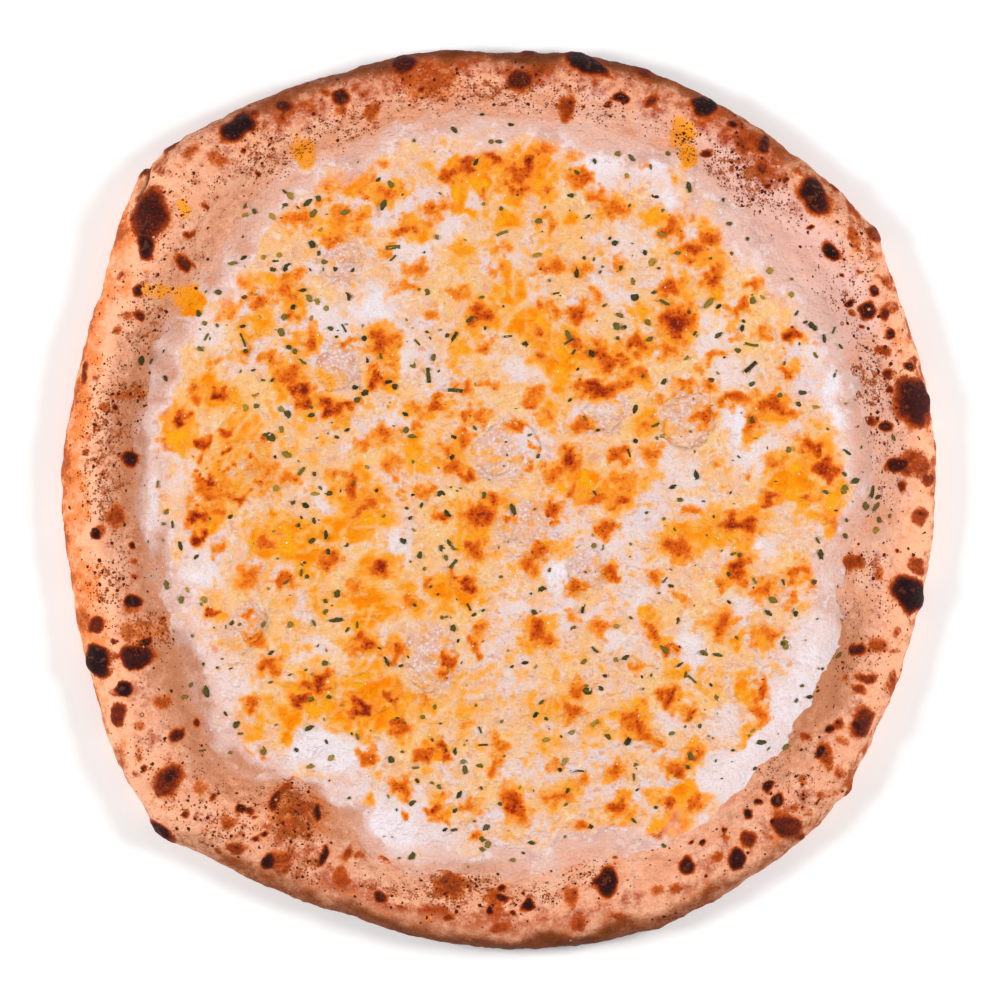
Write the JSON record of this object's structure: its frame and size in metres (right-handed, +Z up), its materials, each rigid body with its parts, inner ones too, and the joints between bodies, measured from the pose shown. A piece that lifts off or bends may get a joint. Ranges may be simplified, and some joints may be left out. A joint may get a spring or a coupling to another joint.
{
  "type": "cheese pizza",
  "caption": "Whole round baked pizza with a puffed charred rim, a melted cheese layer with dried herbs, and lumps of soft cheese; food to serve or display.",
  "frame": {"origin": "middle of the outline box, on the flat underside", "axes": "+Z up through the pizza's thickness; +X to the right and +Y away as seen from above with the far side at the top"},
  "size_m": [0.3104, 0.319, 0.0238],
  "materials": {
    "baked_dough": "matte baked wheat dough, floury, pale tan with charred spots and a browned edge",
    "melted_cheese": "moist melted cheese, white to orange, toasted in patches",
    "soft_cheese": "matte crumbly soft cheese, pale pinkish cream",
    "dried_herbs": "matte dried leaf flakes, olive to dark green"
  },
  "bodies": {
    "root": {"crust": "baked_dough", "cheese": "melted_cheese", "soft_cheese_01": "soft_cheese", "soft_cheese_02": "soft_cheese", "soft_cheese_03": "soft_cheese", "soft_cheese_04": "soft_cheese", "soft_cheese_05": "soft_cheese", "soft_cheese_06": "soft_cheese", "soft_cheese_07": "soft_cheese", "soft_cheese_08": "soft_cheese", "soft_cheese_09": "soft_cheese"}
  },
  "joints": []
}
